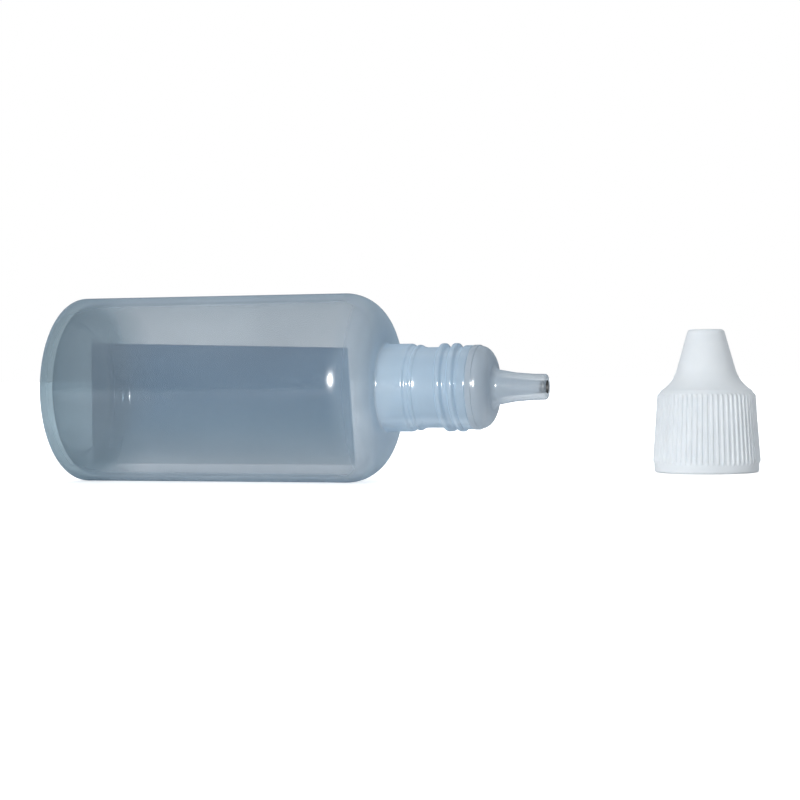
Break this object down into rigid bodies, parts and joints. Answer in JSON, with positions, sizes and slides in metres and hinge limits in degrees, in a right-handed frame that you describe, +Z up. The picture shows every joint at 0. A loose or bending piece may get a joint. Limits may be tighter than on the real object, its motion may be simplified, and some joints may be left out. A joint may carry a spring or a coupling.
{
  "type": "dropper bottle",
  "caption": "Squeezable translucent dropper bottle on its side, with a snap-in tip in its threaded neck and a ribbed, tapered screw cap standing beside it.",
  "frame": {"origin": "on the surface the set stands on, under the middle of the whole set's box", "axes": "+X along the bottle from its base to its nozzle, +Z up and along the standing cap's axis, +Y from the bottle towards the cap"},
  "size_m": [0.1142, 0.0687, 0.032],
  "materials": {
    "translucent_body": "translucent, waxy, soft gloss",
    "translucent_tip": "translucent, waxy, glossy",
    "white_cap": "opaque white, satin"
  },
  "bodies": {
    "bottle": {"bottle": "translucent_body"},
    "dropper_tip": {"dropper_tip": "translucent_tip"},
    "screw_cap": {"screw_cap": "white_cap"}
  },
  "joints": [
    {"name": "tip_pull_out", "type": "slide", "parent": "bottle", "child": "dropper_tip", "axis": [1, 0, 0], "range_m": [0, 0.02]},
    {"name": "cap_lift", "type": "slide", "parent": "bottle", "child": "screw_cap", "axis": [0, 0, 1], "range_m": [0, 0.06]}
  ]
}
